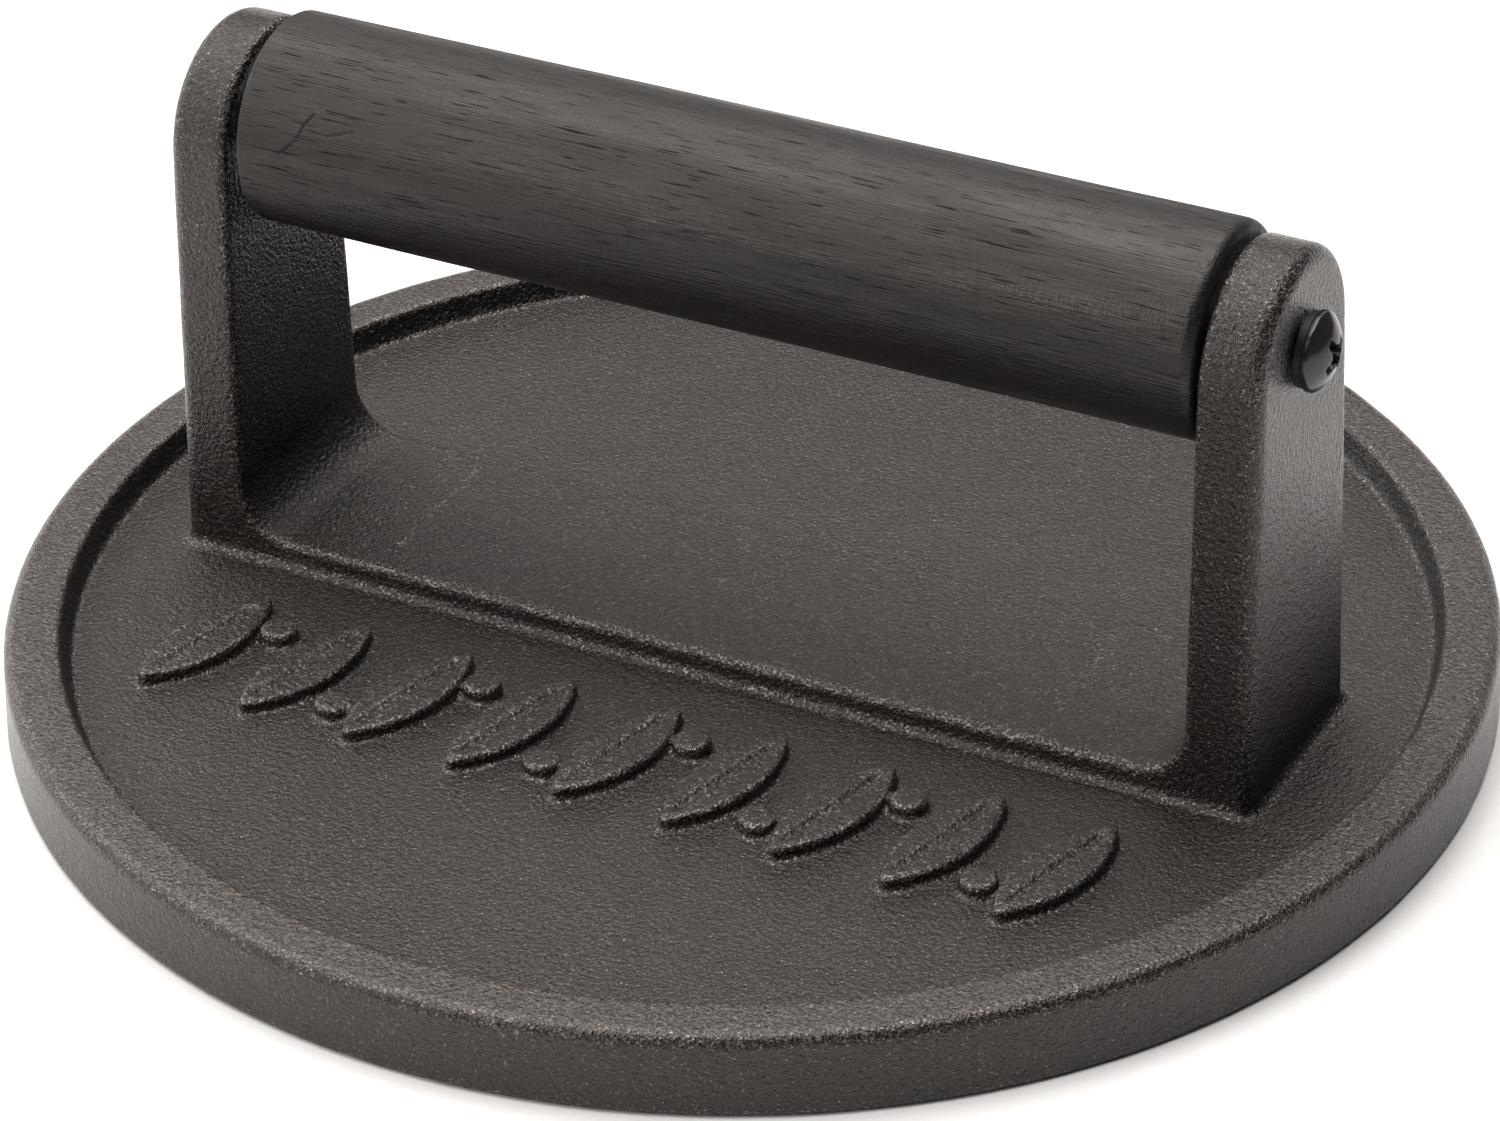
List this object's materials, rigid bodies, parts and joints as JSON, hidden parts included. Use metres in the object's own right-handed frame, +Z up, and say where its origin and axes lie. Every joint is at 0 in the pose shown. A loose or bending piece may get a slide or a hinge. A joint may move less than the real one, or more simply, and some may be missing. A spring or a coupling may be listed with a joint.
{
  "type": "grill press",
  "caption": "Round cast-iron grill press: heavy plate with a raised rim and two cast posts holding a turned wooden grip.",
  "frame": {"origin": "centre of the flat underside of the plate", "axes": "+Z up, +X along the grip, -Y towards the side of the plate with the raised relief"},
  "size_m": [0.165, 0.165, 0.0683],
  "materials": {
    "cast_iron": "seasoned sand-cast surface, fine grain",
    "stained_wood": "black-stained open-pored hardwood, satin",
    "plated_steel": "zinc plated",
    "black_screw": "glossy black plated",
    "black_washer": "black phosphated"
  },
  "bodies": {
    "press": {"casting": "cast_iron", "tie_bar": "plated_steel", "screw_left": "black_screw", "screw_right": "black_screw", "lock_washer_left": "black_washer", "lock_washer_right": "black_washer"},
    "grip": {"wood_grip": "stained_wood"}
  },
  "joints": [
    {"name": "grip_spin", "type": "hinge", "parent": "press", "child": "grip", "pos_m": [0, 0, 0.0564], "axis": [1, 0, 0], "continuous": true}
  ]
}
